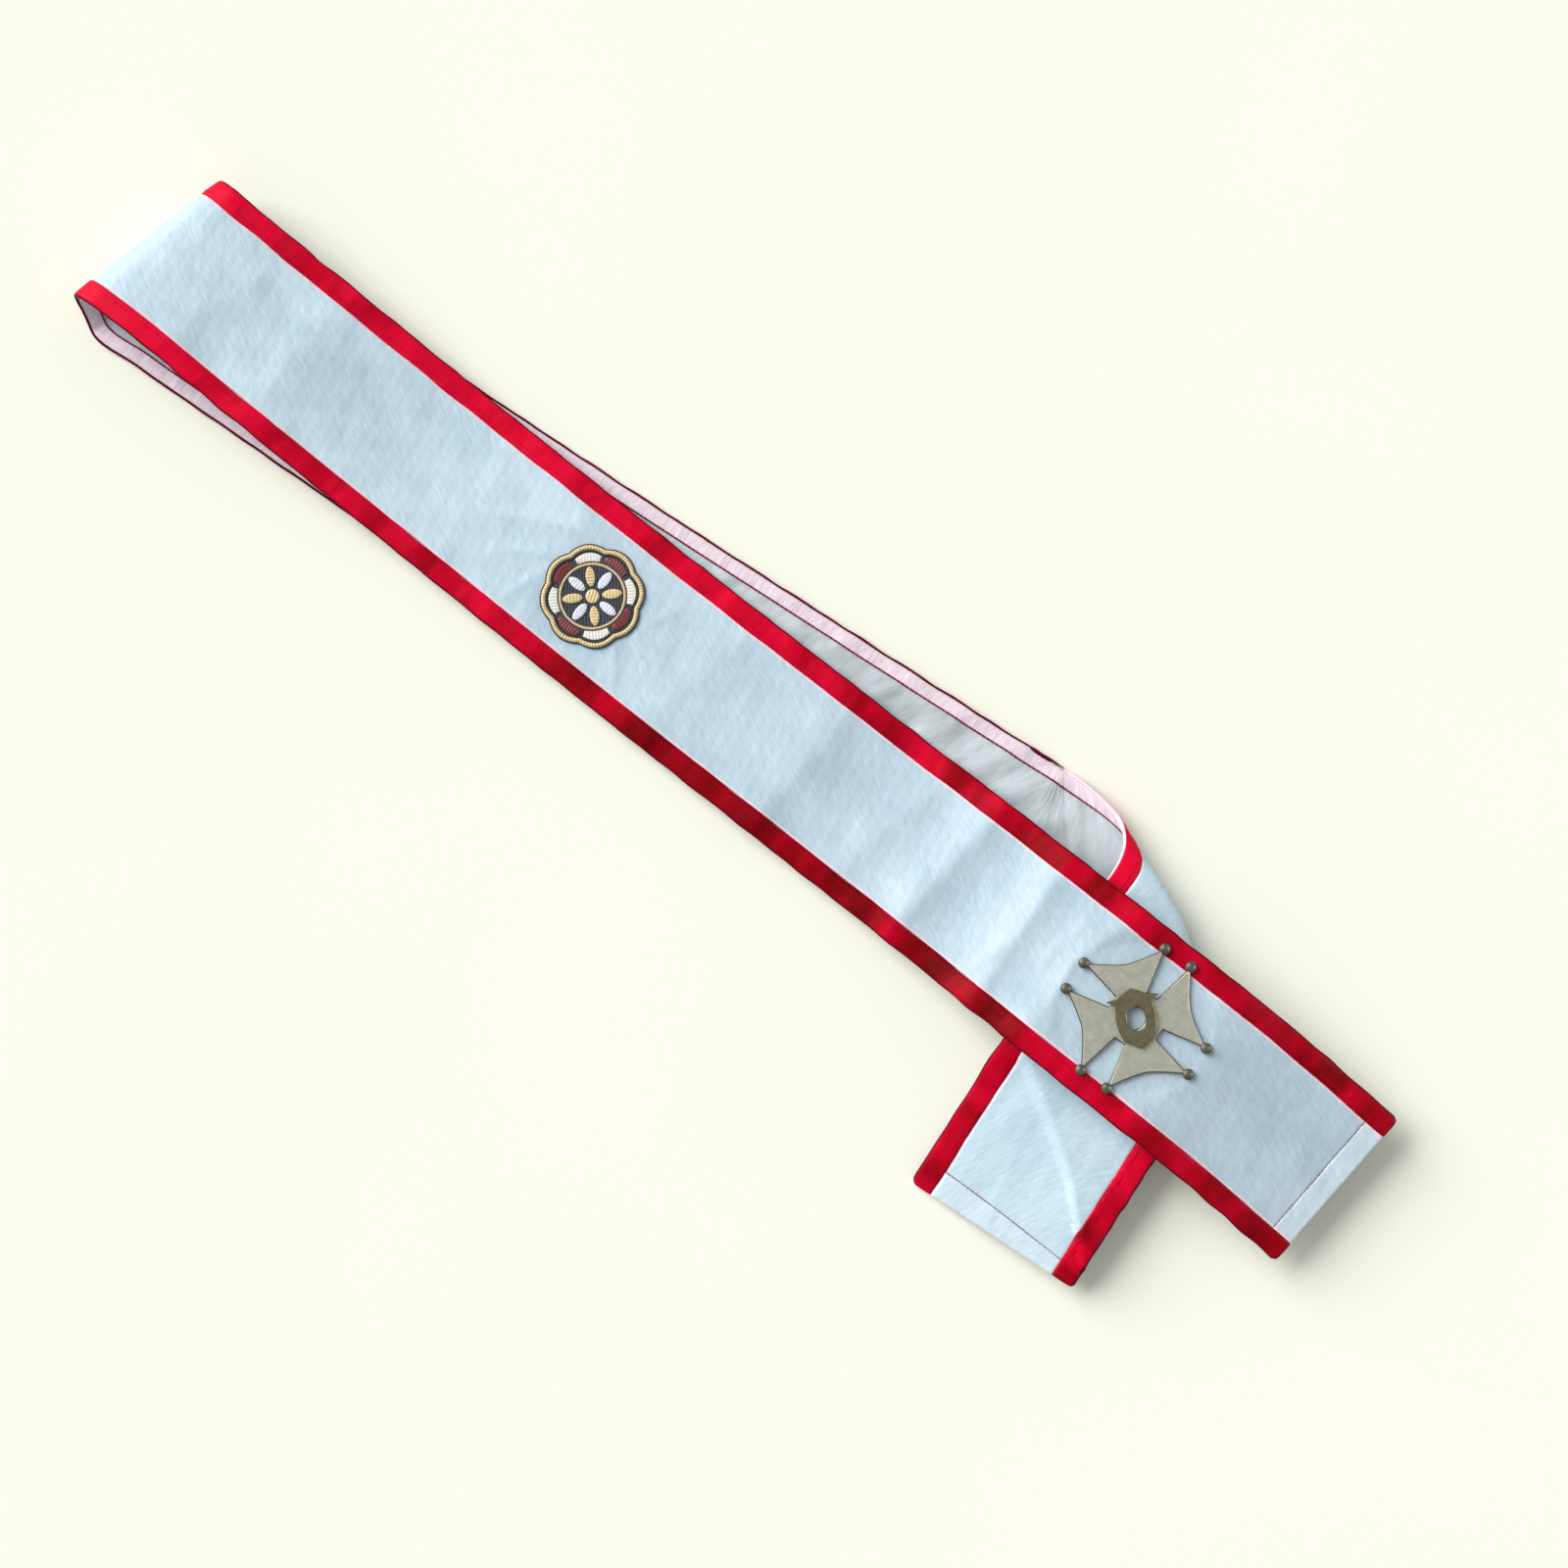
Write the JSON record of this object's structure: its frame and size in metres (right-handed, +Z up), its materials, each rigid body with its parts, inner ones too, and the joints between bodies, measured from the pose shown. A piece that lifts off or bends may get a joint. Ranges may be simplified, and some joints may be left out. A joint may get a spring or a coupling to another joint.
{
  "type": "baldric",
  "caption": "Long white ceremonial sash with red ribbon edges, an embroidered patch and a cast badge, lying doubled back on itself with its ends crossed.",
  "frame": {"origin": "middle of the footprint, on the surface it lies on", "axes": "+X along the front run from the loop towards its free end, +Y towards the upper edge, +Z up"},
  "size_m": [0.8678, 0.2331, 0.0392],
  "materials": {
    "white_cloth": "satin-faced white cloth with fine crinkles",
    "lining_cloth": "plain matt grey-white lining",
    "red_ribbon": "red satin ribbon",
    "embroidery": "dense thread embroidery in gold, maroon, white and black",
    "cast_metal": "satin antique silver-brass",
    "dark_metal": "darkened antique brass"
  },
  "bodies": {
    "root": {"band": "white_cloth", "lining": "lining_cloth", "lower_trim": "red_ribbon", "upper_trim": "red_ribbon", "patch": "embroidery", "badge_cross": "cast_metal", "badge_boss": "dark_metal", "badge_clutch_left": "cast_metal", "badge_clutch_right": "cast_metal"}
  },
  "joints": []
}
